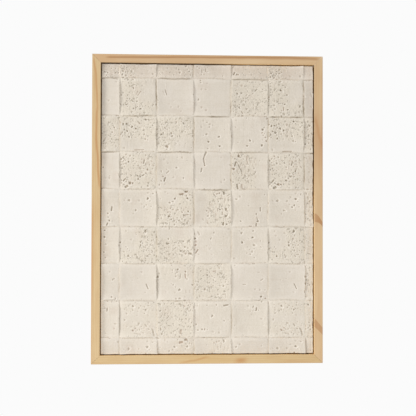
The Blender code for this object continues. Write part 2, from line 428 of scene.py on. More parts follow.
# The marks of each tile, by (row, column). DEEP, PLAIN or FAINT says how strong those after it are. A pit is
# (across, down, width), a dash has two places before its width, and either may end with its share of brown.
MARKS = {
    (0, 0): (
        PLAIN, (59, 84, 5), (67, 86, 4), (77, 74, 3.5), (88, 86, 5), (95, 86, 4),
        Pores(55, 68, 100, 98, 12, 3),
    ),
    (0, 1): (
        DEEP, (8, 81, 5), (31, 81, 4.5), (6, 91, 4.5), (16, 93, 4.5), PLAIN, (5, 75, 4), (2, 86, 4),
        (12, 78, 3.5), (15, 84, 4), (22, 82, 4), (20, 88, 3), (25, 77, 3), (28, 88, 3), (13, 70, 3),
        (22, 70, 3.5), (30, 93, 4), (36, 90, 3), (88, 88, 5), (95, 85, 3), FAINT, (85, 73, 4), (47, 73, 4),
        (60, 88, 5), (75, 80, 4), (50, 93, 4),
    ),
    (0, 2): (
        PLAIN, (61, 84, 5), (78, 66, 4.5), (82, 75, 3), (88, 80, 3), (90, 90, 3.5), (95, 75, 3), (97, 90, 3),
        (75, 93, 3), (74, 84, 2.5), FAINT, (45, 90, 4), (28, 72, 4), (15, 85, 4), (52, 74, 4),
    ),
    (0, 3): (
        PLAIN, (21, 75, 21, 83, 3.5), (31, 72, 31, 80, 3.5), (8, 67, 4), (14, 72, 3), (26, 76, 3),
        (33, 81, 3), (37, 80, 3), FAINT, (20, 88, 4), (12, 85, 3), (27, 88, 4), (50, 100, 65, 88, 2),
    ),
    (0, 4): (
        DEEP, (9, 81, 6, 88, 4), (13, 87, 20, 88, 3.6), FAINT, (30, 83, 4), (37, 90, 4), (50, 80, 4),
        (55, 87, 5), (75, 80, 4),
    ),
    (1, 0): (FAINT, (93, 3, 5), (90, 10, 4), (70, 60, 5)),
    (1, 1): (
        DEEP, (36, 26, 4.6), (46, 62, 3.8), (17, 71, 4), (56, 82, 4.2), (37, 81, 3.8), PLAIN, (22, 6, 3),
        (35, 4, 4), (20, 55, 4), (34, 61, 4), (22, 67, 2.6), (38, 67, 2.6, 0.4), (20, 76, 3.2), (43, 73, 3.2),
        (54, 75, 3), (62, 75, 3), (47, 76, 3, 0.4), (42, 85, 3.2), (90, 70, 4), (95, 61, 3),
        (54, 96, 3.4, 0.4), (3, 45, 4.5), (2, 70, 4), (98, 70, 5), (57, 34, 48, 46, 2.6, 0.4), FAINT,
        (49, 33, 44, 44, 2.4, 0.4), (45, 20, 4), (60, 20, 4), (20, 62, 4), (34, 38, 3), (17, 20, 4),
        (36, 50, 3),
    ),
    (1, 2): (
        DEEP, (22, 30, 27, 45, 2.6), FAINT, (16, 33, 20, 45, 2.4), (38, 76, 4), (58, 75, 5), (65, 87, 4),
        (77, 66, 3), (33, 68, 3),
    ),
    (1, 3): (
        PLAIN, (17, 5, 4, 0.3), (18, 10, 4), (12, 56, 4.8), FAINT, (35, 12, 4), (20, 28, 5), (32, 28, 4),
        (20, 76, 5, 0.3), (32, 84, 5, 0.3),
    ),
    (1, 4): (
        DEEP, (69, 27, 64, 32, 3.4), PLAIN, (43, 40, 40, 45, 3.6), DEEP, (16, 39, 5), (22, 77, 4.4),
        (30, 98, 4.2), (28, 87, 31, 92, 3.6), PLAIN, (27, 38, 3.6), (85, 27, 3.6), (89, 30, 3), (22, 47, 4),
        (21, 56, 3), (22, 68, 3.2), (5, 70, 3.4), (5, 80, 3), (6, 87, 3.4), (9, 44, 3), (41, 80, 5),
        (13, 90, 3, 0.4), (22, 97, 3.4), (65, 92, 3), (91, 92, 3), (60, 68, 4.2), (60, 77, 3.8), (58, 38, 4),
        (40, 27, 3), (33, 57, 4.4), FAINT, (14, 17, 5), (28, 17, 5, 0.4), (34, 51, 4), (46, 55, 5),
        (45, 48, 4), (65, 75, 87, 73, 1.8), Pores(10, 5, 95, 95, 25, 3.4, FAINT),
    ),
    (1, 5): (
        DEEP, (35, 29, 5.2), (46, 66, 4), (37, 99, 4.2), (54, 81, 4.2), PLAIN, (34, 5, 4), (48, 20, 3),
        (52, 41, 4, 0.4), (30, 63, 3.6), (35, 64, 3), (17, 69, 4.6), (19, 79, 4), (37, 83, 3, 0.4),
        (58, 87, 3), (57, 95, 4), (95, 65, 3), (2, 47, 4, 0.4), (98, 45, 4), (43, 74, 42, 83, 3, 0.4), FAINT,
        (20, 10, 4), (18, 58, 5), (88, 72, 5), (85, 87, 5), (47, 38, 3),
    ),
    (2, 0): (
        PLAIN, (71, 20, 4.8), (82, 28, 3.6), (75, 37, 3.2), (85, 34, 3.2), (80, 47, 4), FAINT, (60, 27, 4),
        (75, 72, 4), (90, 85, 5), (60, 65, 5), Pores(55, 10, 100, 95, 20, 3, FAINT), (87, 55, 97, 55, 2),
    ),
    (2, 1): (
        DEEP, (9, 24, 5), (18, 23, 4.4), (33, 31, 5), (43, 36, 5), (25, 59, 4.4), (12, 39, 4), (20, 43, 4.5),
        (70, 11, 4.8), PLAIN, (72, 11, 97, 12, 2), (25, 28, 4), (2, 20, 4, 0.4), (7, 47, 4), (3, 53, 3, 0.4),
        (8, 57, 3.4), (36, 46, 3.6), (24, 50, 2.8), (60, 29, 2.8), (66, 29, 3.4), (66, 52, 4.4), (63, 41, 3),
        (75, 67, 3.2), (88, 27, 3.6), (69, 65, 4.6), (40, 95, 65, 94, 2.6, 0.4), FAINT, (48, 35, 58, 32, 3.6),
        (52, 20, 5, 0.4), (83, 20, 4), (30, 18, 4), (36, 15, 4), (12, 90, 5), (42, 60, 4),
    ),
    (2, 2): (
        DEEP, (39, 48, 5), (41, 56, 5), (27, 85, 7.4, 0.3), (12, 51, 4.6), (17, 47, 4), (72, 20, 4.8),
        (97, 55, 4.6), (25, 17, 4), PLAIN, (97, 38, 97, 50, 3.4), (10, 18, 3.2), (15, 14, 3), (12, 24, 3.2),
        (18, 24, 3), (23, 22, 2.6), (7, 29, 3), (15, 31, 3.2), (26, 30, 3.6), (22, 34, 3, 0.4), (10, 37, 3.2),
        (17, 38, 3.4), (22, 42, 3), (28, 38, 3.6), (34, 34, 3.2), (33, 42, 3), (52, 17, 4, 0.4),
        (66, 16, 3, 0.4), (75, 30, 3.4), (82, 27, 3), (87, 30, 4), (76, 37, 3.2), (84, 38, 3.2),
        (77, 44, 3.8), (10, 70, 3.2), (8, 60, 3), (23, 74, 4), (52, 77, 3.2), (78, 76, 3.4), (93, 88, 3.4),
        (30, 56, 3), (32, 66, 48, 69, 2.4), Pores(45, 50, 95, 95, 12, 3.4, FAINT),
    ),
    (2, 3): (
        DEEP, (67, 57, 5), (39, 71, 5), (69, 83, 4.8), PLAIN, (34, 50, 5), (41, 30, 4), (37, 90, 3.6),
        (69, 94, 2.8), (25, 53, 3), (35, 17, 3.6), FAINT, (25, 12, 5), (43, 22, 5), (50, 25, 4), (54, 26, 3),
        (20, 30, 5),
    ),
    (2, 4): (
        DEEP, (85, 36, 5.6), (51, 67, 5), (43, 82, 4.6), (83, 80, 5.6), (95, 68, 4, 0.4), PLAIN,
        (84, 45, 4, 0.4), (87, 52, 3.4, 0.4), (93, 58, 4, 0.4), (86, 65, 3), (90, 47, 3),
        (91, 29, 88, 32, 3.2), (97, 5, 4.6, 0.4), (41, 5, 3), FAINT, (13, 11, 4), (12, 30, 4), (18, 72, 4),
        (60, 70, 4), (5, 3, 4),
    ),
    (2, 6): (
        DEEP, (14, 24, 5), (2, 75, 4.6), PLAIN, (13, 48, 12, 55, 3.6), (5, 20, 3), (11, 63, 4), (20, 6, 3),
        (12, 73, 4), (10, 35, 4), (17, 90, 4),
    ),
    (3, 0): (FAINT, (73, 70, 5.4), DEEP, (56, 42, 3.6), (58, 2, 85, 2, 2.2)),
    (3, 1): (
        DEEP, (4, 20, 4.5), (24, 27, 4.6), (75, 48, 4.4, 0.4), (50, 73, 5), (56, 67, 4), (28, 84, 6.4, 0.5),
        (35, 84, 4.6, 0.4), (22, 91, 15, 95, 5.4), (16, 72, 10, 78, 4.4), (66, 61, 60, 64, 3.8),
        (67, 22, 64, 32, 3.6), PLAIN, (17, 8, 4, 0.4), (18, 15, 3), (10, 25, 3.6), (16, 23, 3), (28, 11, 4.6),
        (23, 20, 3), (18, 31, 3.6), (13, 40, 3.6), (5, 35, 3), (6, 45, 3.4), (38, 19, 3.6), (24, 47, 3.4),
        (45, 27, 3.6), (50, 37, 4.6), (77, 19, 4), (70, 10, 4), (80, 9, 3.6), (70, 35, 3.4, 0.4),
        (80, 35, 3, 0.4), (65, 45, 3, 0.4), (92, 38, 3.6), (60, 55, 4), (70, 57, 3.6), (48, 64, 3.6),
        (18, 80, 4), (5, 77, 4), (5, 84, 4), (10, 88, 4), (76, 92, 4.6), (88, 73, 3), (88, 80, 3),
        (12, 13, 8, 17, 3.2), (16, 32, 10, 34, 3), Pores(0, 5, 55, 60, 18, 3, FAINT),
        Pores(50, 20, 90, 60, 16, 3, FAINT, 0.4),
    ),
    (3, 2): (
        DEEP, (23, 69, 20, 78, 4.8), PLAIN, (53, 42, 4.8), (12, 78, 4), (7, 88, 4.2), (33, 51, 26, 57, 3.6),
        (12, 50, 12, 55, 3.2), (17, 66, 4, 0.4), (72, 70, 4.4), (27, 47, 3), FAINT, (68, 15, 5), (22, 86, 4),
        (45, 68, 5), (20, 20, 5), (30, 30, 4), (55, 15, 4),
    ),
    (3, 3): (
        crack(4, (33, 0), (29, 8), (26, 17), (28, 30), (29, 36)), PLAIN, (29, 36, 4, 0.4), DEEP,
        (21, 43, 19, 53, 4.2), PLAIN, (82, 74, 4.4), (97, 2, 4), (98, 35, 5), FAINT, (73, 14, 4.4),
        (73, 80, 5),
    ),
    (3, 4): (
        DEEP, (20, 10, 6.6, 0.4), (6, 45, 5.6, 0.6), (13, 26, 9, 37, 4.6),
        crack(2.6, (20, 33), (22, 40), (28, 50), (28, 58)), (16, 86, 18, 98, 4),
        crack(2.6, (43, 10), (42, 20), (46, 33), strength=PLAIN, brown=0.5), PLAIN,
        (29, 86, 30, 99, 3.2, 0.5), (10, 18, 4), (2, 36, 3), (25, 14, 3), (33, 18, 3), (62, 43, 4),
        (66, 53, 3), (38, 62, 4), (44, 70, 3.6), (5, 60, 3.6), (20, 57, 3), (22, 83, 3.6), (5, 80, 4),
        (47, 45, 47, 53, 3), Pores(10, 5, 68, 95, 30, 2.6, FAINT, 0.2, 2.6, 90),
    ),
    (3, 6): (FAINT, (13, 53, 4.4), (13, 80, 4.4), (6, 15, 4), (7, 30, 3)),
    (4, 0): (
        DEEP, (80, 47, 78, 58, 4), (69, 90, 66, 97, 3.6), PLAIN, (69, 65, 4.4, 0.3), (70, 75, 3.8), DEEP,
        (73, 84, 4.4),
    ),
    (4, 1): (
        DEEP, (76, 25, 5.6), PLAIN, (26, 30, 6), (44, 56, 5), (67, 46, 3.6), (90, 12, 4.2), (85, 46, 3.4),
        (72, 42, 3.4), (82, 32, 3.2), FAINT, (53, 30, 5), (76, 10, 5), (37, 65, 4), (13, 30, 4), (75, 55, 4),
        (60, 40, 4),
    ),
    (4, 2): (
        DEEP, (49, 25, 5), (83, 24, 5), (85, 59, 4.4), (33, 72, 5.6), (82, 90, 4.2), (76, 6, 83, 6, 5, 0.5),
        PLAIN, (62, 14, 71, 12, 4.6, 0.8), (80, 17, 4), (90, 15, 4), (95, 16, 3, 0.4), (44, 33, 4),
        (35, 36, 5), (10, 26, 3), (72, 70, 86, 67, 3, 0.4), FAINT, (23, 7, 5), (30, 11, 4), (40, 44, 4),
        Pores(12, 48, 75, 62, 12, 3.4, PLAIN, 0.4), Pores(4, 66, 95, 95, 34, 3.5),
    ),
    (4, 3): (
        DEEP, (86, 71, 6), (70, 54, 4.2), (88, 93, 4.4), (86, 50, 86, 56, 5), (79, 88, 79, 95, 5),
        (80, 6, 81, 13, 4.2), PLAIN, (62, 12, 4, 0.5), (55, 15, 3.6, 0.4), (68, 10, 4, 0.4), (66, 32, 3.4),
        (90, 58, 4), (69, 47, 3.6), (97, 75, 4), (35, 57, 4.2), (38, 71, 4.6), (37, 90, 3.4, 0.4),
        (44, 50, 44, 60, 3), (76, 60, 76, 68, 3.2), FAINT, (25, 80, 5),
        Pores(55, 15, 98, 95, 26, 3, FAINT, 0.2, 2.4, 90), Pores(35, 40, 60, 95, 8, 3, FAINT, 0.3, 2.4, 90),
    ),
    (4, 4): (
        DEEP, (79, 48, 79, 58, 3.6), (68, 63, 68, 68, 3.2), (68, 90, 67, 98, 3.6), (69, 73, 72, 83, 2.4),
        (72, 85, 5), PLAIN, (14, 26, 4.6), (26, 85, 4.2), FAINT, (24, 19, 5), (47, 43, 4),
    ),
    (4, 5): (Like(4, 1), DEEP, (72, 42, 4.4), (66, 47, 4), FAINT, (62, 20, 5), (52, 31, 5)),
    (4, 6): (
        DEEP, (10, 19, 10, 26, 3.2), PLAIN, (5, 10, 4), (15, 47, 3.6), (3, 65, 4), (13, 55, 3), FAINT,
        (10, 80, 5), (8, 35, 4), (17, 5, 4), Pores(2, 5, 22, 95, 12, 3, 0.5, 0.3, 2, 90),
    ),
    (5, 0): (DEEP, (60, 28, 5), (61, 10, 4), PLAIN, (64, 48, 4), (58, 69, 4.6), (63, 84, 4)),
    (5, 1): (
        DEEP, (70, 12, 6.6), (24, 80, 5), (57, 42, 4.4), (57, 50, 4.4), (2, 43, 4.6), PLAIN, (63, 46, 3),
        (87, 38, 4), (88, 44, 3), (83, 50, 4), (72, 42, 3.4), (75, 50, 3.4), (70, 57, 3.4), (67, 63, 3),
        (73, 65, 4), (80, 66, 3.4), (87, 65, 3.4), (75, 80, 4.6), (18, 55, 3.4), (22, 60, 3.4), (12, 68, 4),
        (46, 77, 4), (48, 83, 4), (62, 80, 3), (85, 75, 78, 76, 3.4), (3, 60, 4), (68, 98, 4), (88, 97, 4),
        (35, 80, 3), FAINT, (18, 12, 5), (45, 17, 5), (32, 35, 5), (70, 32, 5), (55, 90, 4),
        Pores(60, 35, 95, 90, 12, 3, FAINT),
    ),
    (5, 2): (
        DEEP, (76, 55, 4.6), (65, 66, 4.6), (72, 40, 4.4), (32, 33, 4.4), (86, 72, 94, 74, 5),
        (26, 47, 34, 46, 3.6), PLAIN, (52, 57, 43, 65, 3.6), FAINT, (10, 86, 28, 87, 1.8), PLAIN,
        (35, 5, 4.2), (56, 39, 3.8), (89, 40, 4.6), (60, 45, 4), (61, 52, 4), (68, 46, 3.4), (84, 58, 4.4),
        (90, 50, 3.4), (72, 69, 4.4), (78, 73, 4.8, 0.5), (63, 76, 4), (29, 87, 4.6), (58, 62, 3),
        (71, 80, 3), (53, 73, 3), (45, 77, 3.2), (37, 91, 3.4), (96, 78, 3), (12, 72, 18, 75, 2.6),
        (33, 69, 3.4), (6, 38, 3), (12, 45, 3), (50, 80, 3), Pores(5, 40, 35, 95, 8, 3.4, FAINT),
        Pores(38, 36, 97, 80, 22, 3.4, 0.5),
    ),
    (5, 3): (
        DEEP, (3, 32, 5.6), PLAIN, (11, 14, 15, 22, 4), DEEP, (12, 62, 5, 72, 3.6, 0.5), PLAIN,
        (5, 50, 5, 0.8), (2, 62, 4, 0.3), (46, 32, 4.8), (54, 16, 4.6), (2, 20, 4), FAINT, (43, 60, 4.6),
        (35, 52, 4), (48, 75, 4), (80, 27, 4), (93, 6, 5), (5, 40, 5, 0.6),
    ),
    (5, 4): (
        DEEP, (58, 29, 5.4), (30, 43, 5.4), PLAIN, (28, 17, 5.4), (60, 11, 4.6), (62, 50, 5.4), (57, 68, 4.4),
        (52, 75, 4), (29, 6, 3), (63, 60, 3), (63, 84, 3.4), (50, 62, 3), FAINT, (43, 72, 4), (8, 86, 5),
        (45, 55, 4), (35, 37, 4),
    ),
    (5, 5): (Like(5, 1), PLAIN, (58, 51, 5.6), (73, 24, 4), (68, 33, 4, 0.4), FAINT, (21, 24, 5)),
    (5, 6): (
        PLAIN, (8, 72, 18, 75, 3), FAINT, (3, 87, 17, 86, 2), PLAIN, (6, 38, 3),
        Pores(0, 10, 22, 95, 8, 3.2, FAINT),
    ),
    (6, 0): (
        PLAIN, (88, 40, 82, 45, 3.4), FAINT, (75, 22, 4.4), PLAIN, (80, 90, 4.6), (90, 94, 4),
        (60, 99, 90, 98, 2.4),
    ),
    (6, 1): (DEEP, (72, 55, 78, 69, 3), FAINT, (60, 23, 5), (50, 41, 3), (70, 78, 4), (35, 45, 3)),
    (6, 2): (
        DEEP, (3, 36, 5.6), (57, 16, 5), (62, 71, 5.6), (78, 22, 4.4, 0.4), (97, 58, 4.4), PLAIN,
        (7, 27, 4.4), (43, 18, 4), (43, 24, 3), (55, 24, 4.4), (52, 35, 4.4), (63, 40, 3.6), (41, 5, 3, 0.4),
        (82, 42, 4), (45, 58, 4), (40, 55, 3), (52, 64, 3), (93, 15, 3.4), (53, 95, 4.4), (63, 94, 5.2),
        (77, 28, 78, 40, 3.2, 0.6), (65, 28, 65, 37, 3), FAINT, (90, 71, 90, 79, 3), (80, 71, 80, 80, 3),
        (50, 78, 4), (77, 90, 4),
    ),
    (6, 3): (
        DEEP, (30, 70, 5.4), (80, 61, 4.6), PLAIN, (78, 84, 86, 83, 3.4), (52, 22, 58, 21, 3.4, 0.5),
        (68, 2, 4), (68, 12, 4.4), (63, 6, 3), (75, 3, 3), (36, 25, 3.4), (37, 32, 3), (50, 35, 4),
        (56, 38, 3.4), (53, 45, 4), (13, 50, 4), (6, 48, 4), (2, 55, 3.4), (10, 58, 4), (5, 62, 3),
        (4, 70, 3.4), (12, 70, 4.6), (7, 77, 3), (17, 89, 3.4), (40, 60, 38, 64, 3.2), (47, 63, 54, 60, 3),
        (76, 20, 76, 31, 2.6), (70, 60, 4), (75, 52, 3.4), (85, 50, 4), (90, 57, 3.4), (65, 84, 4.4),
        (63, 55, 3), (38, 92, 50, 90, 2.6), Pores(15, 10, 95, 95, 16, 3, FAINT),
    ),
    (6, 4): (
        DEEP, (81, 90, 5.2), PLAIN, (87, 42, 80, 46, 3.4), (32, 57, 40, 57, 3.2), (79, 97, 3),
        (93, 95, 4, 0.5), (92, 72, 3.4), FAINT, (72, 24, 78, 24, 3), (78, 72, 5), (10, 6, 4), (65, 70, 5),
    ),
    (6, 6): (
        DEEP, (2, 36, 5.6), (2, 55, 4.6), PLAIN, (8, 27, 5), (4, 90, 4.4), (13, 60, 3.4), FAINT,
        (12, 45, 12, 55, 2.6), (17, 70, 17, 80, 2.6), Pores(2, 5, 22, 95, 8, 3, 0.5, 0.3, 2, 90),
    ),
    (7, 0): (DEEP, (68, 20, 68, 28, 4), PLAIN, (62, 20, 4), FAINT, (90, 62, 5), (87, 75, 4, 0.4)),
    (7, 1): (
        DEEP, (37, 15, 5), (71, 25, 4.4), PLAIN, (70, 64, 74, 70, 4),
        crack(5, (89, 77), (92, 85), (94, 95), strength=0.6), (37, 26, 4), (58, 14, 4), (68, 17, 3.4),
        (78, 13, 4.2), (65, 24, 3), (20, 35, 4.4), (15, 52, 4.6), (53, 62, 5.4), (80, 77, 4.2),
        (37, 80, 4.8, 0.5), (55, 78, 4), (44, 75, 4, 0.4), (65, 87, 3.6), (21, 70, 3), (68, 35, 3.4),
        (60, 70, 3), (50, 90, 58, 90, 2.6), FAINT, (30, 10, 4), (20, 25, 4), (78, 40, 4), (48, 40, 4),
        (45, 88, 4), Pores(10, 5, 95, 30, 14, 3.4, 0.5), Pores(30, 55, 98, 95, 24, 3.4, 0.45),
    ),
    (7, 2): (
        DEEP, (10, 10, 4.6), (83, 23, 4.4), (78, 30, 4), (10, 28, 4), (15, 90, 4.8), (12, 74, 12, 80, 4),
        PLAIN, (63, 7, 66, 17, 3.6), (67, 79, 65, 90, 4, 0.6), (88, 50, 88, 57, 3.4), (22, 9, 4.2),
        (40, 10, 3), (48, 10, 3), (75, 15, 4.4, 0.5), (82, 6, 4), (89, 5, 3.4), (90, 17, 4.2), (87, 28, 4),
        (97, 28, 3.4), (25, 25, 3.4, 0.4), (20, 20, 3), (31, 36, 3.4), (10, 60, 4), (5, 60, 3), (13, 67, 3.4),
        (70, 69, 3.4), (95, 60, 4), (97, 82, 3.4), FAINT, (42, 45, 5), (25, 75, 5), (48, 82, 4), (45, 36, 4),
        Pores(3, 5, 97, 97, 34, 3, 0.5),
    ),
    (7, 3): (
        DEEP, (80, 14, 93, 12, 3.8), (23, 78, 4.2), PLAIN, (50, 42, 5.6), (7, 65, 4.6), (36, 13, 3.4),
        (61, 12, 4), (82, 55, 4), (12, 80, 4.2), (30, 78, 4, 0.4), (37, 79, 3), FAINT, (52, 84, 5),
        (68, 87, 5), (10, 14, 4),
    ),
    (7, 4): (
        DEEP, (69, 20, 68, 28, 4), PLAIN, (60, 18, 4.6), (83, 4, 4), (53, 30, 3), (75, 27, 3), FAINT,
        (82, 50, 5.4), (46, 15, 5), (10, 68, 4),
    ),
    (7, 6): (DEEP, (10, 12, 4.6), PLAIN, (13, 60, 4), (15, 70, 4), (10, 75, 4), (16, 80, 4), (7, 40, 3)),
}

# Tiles whose marks are softer or stronger than the rest
MARK_STRENGTHS = {
    (0, 1): 0.7, (0, 5): 0.75, (1, 1): 0.95, (1, 4): 0.8, (1, 5): 1.1,
    (2, 1): 1.05, (2, 2): 0.75, (2, 5): 1.2, (2, 6): 0.8, (3, 1): 0.9, (3, 3): 0.8, (3, 5): 0.9, (4, 6): 0.75,
    (5, 1): 0.82, (5, 2): 0.77, (5, 3): 0.8, (5, 5): 0.9, (6, 2): 0.85, (6, 3): 0.75, (6, 6): 0.6,
    (7, 1): 0.8, (7, 2): 0.65, (7, 5): 0.8, (8, 1): 0.8, (8, 2): 0.8, (8, 3): 0.7, (8, 5): 0.85, (8, 6): 0.25,
}


def bowls_of(parts, known):
    """The bowls that one tile's list of marks stands for."""
    bowls = []
    strength = PLAIN
    for part in parts:
        if isinstance(part, float):
            strength = part
        elif isinstance(part, Like):
            bowls += known[part.row, part.column]
        elif isinstance(part, Pores):
            bowls += strewn(part)
        elif isinstance(part, list):
            bowls += part
        else:
            bowls.append(pit(strength, *part) if len(part) <= 4 else dash(strength, *part))
    return bowls


def known_marks():
    """The bowls of every tile in the table, by (row, column)."""
    known = {}
    for tile, parts in MARKS.items():
        known[tile] = bowls_of(parts, known)
    return known


def tile_marks(row, column, known):
    """The bowls of one tile, its own or those of the tile that it repeats."""
    if (row, column) in known:
        return known[row, column]
    if row == LAST_ROW:
        return tile_marks(SAME_ROW, column, known)
    lower = REPEAT_LOWER if row < SAME_ROW else 0
    return [bowl._replace(down=bowl.down + lower) for bowl in known.get((row, column - REPEAT_COLUMNS), [])]


def soft_noise(shape, width):
    """Smooth noise on a grid, with its bumps about width cells across and a spread of 1."""
    rows, columns = shape
    spectrum = np.fft.rfft2(chance.standard_normal(shape))
    fy = np.fft.fftfreq(rows)[:, None]
    fx = np.fft.rfftfreq(columns)[None, :]
    spectrum *= np.exp(-2 * (pi * width / 2) ** 2 * (fx**2 + fy**2))
    field = np.fft.irfft2(spectrum, s=shape)
    return (field - field.mean()) / field.std()


def blurred(field, width):
    """The field smoothed over about width cells, with its edges held."""
    reach = int(3 * width) + 1
    steps = np.arange(-reach, reach + 1)
    weights = np.exp(-0.5 * (steps / width) ** 2)
    weights /= weights.sum()
    for axis in (0, 1):
        pad = [(0, 0), (0, 0)]
        pad[axis] = (reach, reach)
        padded = np.pad(field, pad, mode="edge")
        length = field.shape[axis]
        parts = [np.take(padded, range(step, step + length), axis=axis) for step in range(2 * reach + 1)]
        field = sum(weight * part for weight, part in zip(weights, parts))
    return field


def smooth_step(value):
    value = np.clip(value, 0, 1)
    return value * value * (3 - 2 * value)


def ridge(distance, place, width):
    """1 where the distance is at the place, falling away within about the width."""
    return np.exp(-(((distance - place) / width) ** 2))


def waves(shape, sizes):
    """Soft noises on a grid, added up. Each size is how high the waves are and how long, in millimetres."""
    return sum(high * soft_noise(shape, length / GRID) for high, length in sizes)


def seam_wobble(count):
    """How far a seam strays from its straight line, at each of count grid places along it."""
    return waves((1, count), SEAM_WOBBLES)[0]


def seam_lines(across, down):
    """Where the seams run: columns[seam, grid row] and rows[seam, grid column], with one beyond each edge."""
    lean = down / PANEL_HEIGHT - 0.5
    columns = [place + drift * lean + seam_wobble(len(down)) for place, drift in COLUMN_SEAMS]
    rows = [place + seam_wobble(len(across)) for place in ROW_SEAMS]
    columns = [columns[0] - TILE_WIDTH, *columns, columns[-1] + TILE_WIDTH]
    rows = [rows[0] - TILE_HEIGHT, *rows, rows[-1] + TILE_HEIGHT]
    return np.array(columns), np.array(rows)


def tile_places(across, down, column_lines, row_lines):
    """For each grid point: its tile's column and row, and its gaps to the tile's left, right, upper and lower
    seams, in millimetres."""
    column = (across[None, :, None] >= column_lines.T[:, None, 1:-1]).sum(2)
    row = (down[:, None, None] >= row_lines.T[None, :, 1:-1]).sum(2)
    grid_row = np.arange(len(down))[:, None]
    grid_column = np.arange(len(across))[None, :]
    left = across[None, :] - column_lines[column, grid_row]
    right = column_lines[column + 1, grid_row] - across[None, :]
    above = down[:, None] - row_lines[row, grid_column]
    below = row_lines[row + 1, grid_column] - down[:, None]
    return column, row, (left, right, above, below)


def woven_height(column, row, gaps):
    """The tiles' form, as in the solid, with each edge's curl a little its own and its crest rounded over."""
    left, right, above, below = gaps
    odd = (column + row) % 2 == 1
    s = (left - right) / (left + right)
    t = (above - below) / (above + below)
    along = np.clip(np.where(odd, t, s), -1, 1)
    over = np.clip(np.where(odd, s, t), -1, 1)
    late = over > 0
    liveliness = chance.uniform(*CURL_RANGE, (column.max() + 1, row.max() + 1, 2))
    own = liveliness[column, row, late.astype(int)]
    fade = 1 - abs(along) ** FADE_POWER
    rise = EDGE_RISE * own * abs(over) ** CURL_POWER * fade
    width = np.where(late, LATE_CREST[0], EARLY_CREST[0])
    drop = np.where(late, LATE_CREST[1], EARLY_CREST[1])
    crest = np.clip(1 - (1 - abs(over)) * TILE_WIDTH / 2 / width, 0, 1) ** 2
    dive = END_DIVE * abs(along) ** DIVE_POWER * (1 - abs(over) ** FADE_POWER)
    return rise - drop * crest * fade - dive


def crevices(column, row, gaps):
    """How deep in a crevice each point lies, from 0 to 1, or below 0 where a seam is filled."""
    left, right, above, below = gaps
    patchy = np.clip(0.85 + 0.35 * soft_noise(left.shape, PATCH_LENGTH / GRID), 0.3, 1.4)
    columns = np.pad(np.array(COLUMN_LINES, float), ((0, 0), (1, 1))) / 9
    rows = np.pad(np.array(ROW_LINES, float), ((1, 1), (0, 0))) / 9
    sides = (
        (left, right, above, below, columns[row, column], columns[row, column + 1], CREVICE_PLACES[0]),
        (above, below, left, right, rows[row, column], rows[row + 1, column], CREVICE_PLACES[1]),
    )
    found = np.zeros(left.shape)
    for before, after, side, far_side, depth_before, depth_after, place in sides:
        first = before < after
        aside = np.where(first, before, -after) - place
        depth = np.where(first, depth_before, depth_after)
        mid_edge = 1 - 0.9 * (abs(side - far_side) / (side + far_side)) ** 6
        found += depth * mid_edge * patchy * ridge(aside, 0, CREVICE_WIDTH)
    return np.clip(found, -1, 1.1)


def ragged(place):
    """How far the border of a smoother part strays, in hundredths of the tile, at a place along it."""
    return 4 * np.sin(place / 6) + 2.5 * np.sin(place / 2.3 + 1)


def face_roughness(column, row, gaps):
    """How rough the tiles' faces are at each grid point, from 0 to about 1."""
    left, right, above, below = gaps
    across = 100 * left / (left + right)
    down = 100 * above / (above + below)
    across, down = across + ragged(down), down + ragged(across + 40)
    rough = np.array(ROUGHNESS, float)[row, column] / 3
    for (tile_row, tile_column), (first_across, last_across, first_down, last_down) in SMOOTH_PARTS.items():
        tile = (row == tile_row) & (column == tile_column)
        part = (across > first_across) & (across < last_across) & (down > first_down) & (down < last_down)
        rough[tile] *= np.where(part[tile], SMOOTHER, ROUGHER)
    return blurred(rough, SMOOTH_EDGE / GRID)


def pale_and_highlit_rims(across, down, column, row, gaps):
    """How much paler than the faces each point is: along the tiles' crests, partly as painted highlight, and
    along the panel's border, as painted light that lifts the frame's shade.
    """
    odd = (column + row) % 2 == 1
    found = np.zeros(odd.shape)
    shares = (np.where(odd, FAINT_CREST, PALE_CREST), FAINT_CREST, PALE_CREST, PALE_CREST)
    for gap, share in zip(gaps, shares):
        found = np.maximum(found, share * ridge(gap, *CREST_RIM))
    borders = (down[:, None], PANEL_HEIGHT - down[:, None], across[None, :], PANEL_WIDTH - across[None, :])
    for gap, share in zip(borders, BORDER_PAINTED_LIGHT):
        found = np.maximum(found, share * ridge(gap, *BORDER_RIM))
    return found


# How deep a bowl is and how high its lip, each as a share of its width, and at most
SINK, MOST_SINK = 0.4, 2.2
LIP_RISE, MOST_LIP_RISE = 0.1, 0.4
LIP_PLACE, LIP_WIDTH = 1.6, 0.5  # in half widths from its middle
LOBE = 0.14  # how far each of three waves bends its rim
LOBE_COUNTS = (2, 3, 5)


